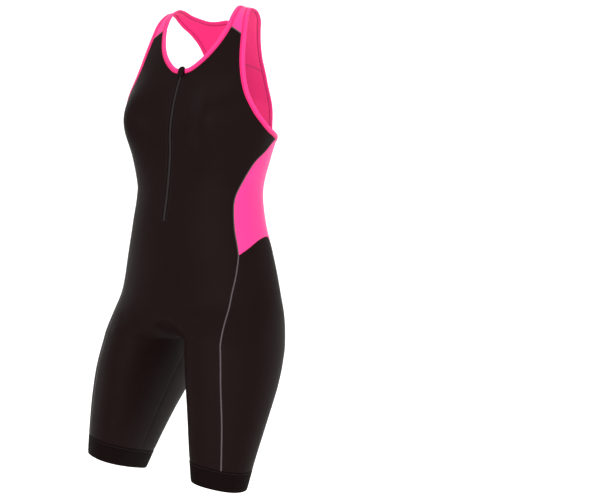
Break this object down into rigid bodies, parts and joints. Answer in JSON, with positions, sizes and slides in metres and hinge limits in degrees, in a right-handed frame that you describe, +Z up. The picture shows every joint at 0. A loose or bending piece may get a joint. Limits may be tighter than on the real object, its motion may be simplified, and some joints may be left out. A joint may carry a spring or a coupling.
{
  "type": "triathlon suit",
  "caption": "Sleeveless racer-back triathlon suit with short legs and a front zip, worn hollow with open neck, armholes and hems.",
  "frame": {"origin": "midway between the crests of the two shoulder straps, where the suit is held up", "axes": "+Z up, the front with the zip faces -Y, the wearer's left is +X; the legs hang down along -Z"},
  "size_m": [0.3431, 0.3103, 0.8352],
  "materials": {
    "black_knit": "matte stretch knit with a faint sheen",
    "pink_knit": "stretch knit with a soft sheen",
    "hem_elastic": "matte elastic band",
    "pink_binding": "folded stretch binding",
    "zip_tape": "woven tape",
    "zip_coil": "moulded plastic coil",
    "zip_metal": "dark lacquered metal"
  },
  "bodies": {
    "root": {"front": "black_knit", "back_yoke": "pink_knit", "back_middle": "pink_knit", "back_lower": "pink_knit", "seat": "black_knit", "side_upper_left": "pink_knit", "side_upper_right": "pink_knit", "side_lower_left": "black_knit", "side_lower_right": "black_knit", "hem_band_left": "hem_elastic", "hem_band_right": "hem_elastic", "armhole_binding_left": "pink_binding", "armhole_binding_right": "pink_binding", "neck_binding": "pink_binding", "zip_tape_left": "zip_tape", "zip_tape_right": "zip_tape", "zip_chain": "zip_coil", "zip_slider": "zip_metal", "zip_garage": "black_knit"}
  },
  "joints": []
}
